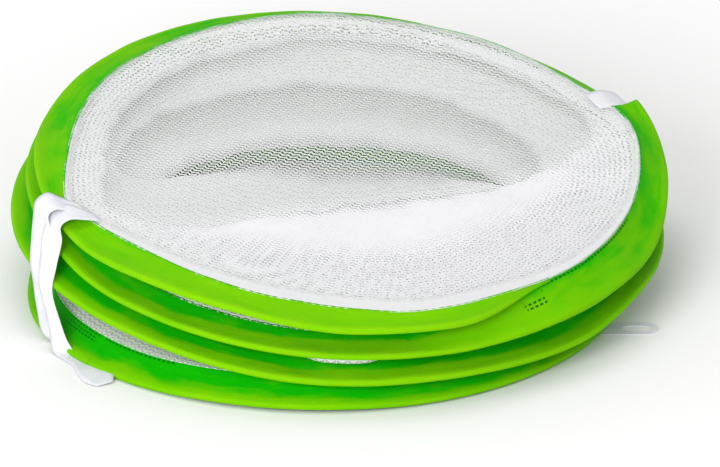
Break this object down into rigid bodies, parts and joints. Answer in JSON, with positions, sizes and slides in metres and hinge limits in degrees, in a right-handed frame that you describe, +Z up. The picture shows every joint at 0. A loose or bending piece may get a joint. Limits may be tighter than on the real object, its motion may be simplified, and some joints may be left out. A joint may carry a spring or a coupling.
{
  "type": "pop-up mesh basket",
  "caption": "Round pop-up net basket folded flat: sprung hoops in green cloth sleeves, net base panel on top, folded net wall inside, two tape ties and a pull loop.",
  "frame": {"origin": "middle of the folded basket's outline, on the floor it lies on", "axes": "+Z up, through the folded stack; +X to the right of the front view, towards the pull loop; +Y to the back, where the stack stands highest"},
  "size_m": [0.3761, 0.3746, 0.0877],
  "materials": {
    "sleeve_cloth": "satin nylon cloth, bright green",
    "net": "white knitted polyester net",
    "hem": "white doubled net hem",
    "tape": "white woven tape",
    "wire": "drawn spring steel",
    "ferrule": "crimped steel"
  },
  "bodies": {
    "floor_hoop": {"floor_hoop_wire": "wire", "floor_hoop_ferrule": "ferrule", "floor_hoop_sleeve": "sleeve_cloth", "floor_sleeve_lap": "sleeve_cloth", "lower_wall_net": "net", "pull_loop": "tape"},
    "third_hoop": {"third_hoop_wire": "wire", "third_hoop_ferrule": "ferrule", "third_hoop_sleeve": "sleeve_cloth", "third_sleeve_lap": "sleeve_cloth", "middle_wall_net": "net"},
    "second_hoop": {"second_hoop_wire": "wire", "second_hoop_ferrule": "ferrule", "second_hoop_sleeve": "sleeve_cloth", "second_sleeve_lap": "sleeve_cloth", "upper_wall_net": "net"},
    "top_hoop": {"top_hoop_wire": "wire", "top_hoop_ferrule": "ferrule", "top_hoop_sleeve": "sleeve_cloth", "top_sleeve_lap": "sleeve_cloth", "base_net": "net", "base_net_hem": "hem", "left_tie_tab": "tape", "right_tie_tab": "tape"},
    "left_tie_tape": {"left_tie": "tape"},
    "right_tie_tape": {"right_tie": "tape"}
  },
  "joints": [
    {"name": "third_hoop_lift", "type": "slide", "parent": "floor_hoop", "child": "third_hoop", "axis": [0, 0, 1], "range_m": [0, 0.13], "deforming": ["lower_wall_net"]},
    {"name": "second_hoop_lift", "type": "slide", "parent": "third_hoop", "child": "second_hoop", "axis": [0, 0, 1], "range_m": [0, 0.13], "deforming": ["middle_wall_net"]},
    {"name": "top_hoop_lift", "type": "slide", "parent": "second_hoop", "child": "top_hoop", "axis": [0, 0, 1], "range_m": [0, 0.13], "deforming": ["upper_wall_net"]},
    {"name": "left_tie_swing", "type": "hinge", "parent": "top_hoop", "child": "left_tie_tape", "pos_m": [-0.14097, -0.06891, 0.07446], "axis": [-0.4349, 0.8944, 0.1041], "range_deg": [0, 110], "deforming": ["left_tie"]},
    {"name": "right_tie_swing", "type": "hinge", "parent": "top_hoop", "child": "right_tie_tape", "pos_m": [0.15082, 0.07383, 0.06722], "axis": [0.4349, -0.8944, -0.1041], "range_deg": [0, 110], "deforming": ["right_tie"]}
  ],
  "couplings": [
    {"joint": "second_hoop_lift", "follows": "third_hoop_lift", "ratio": 1},
    {"joint": "top_hoop_lift", "follows": "third_hoop_lift", "ratio": 1}
  ]
}
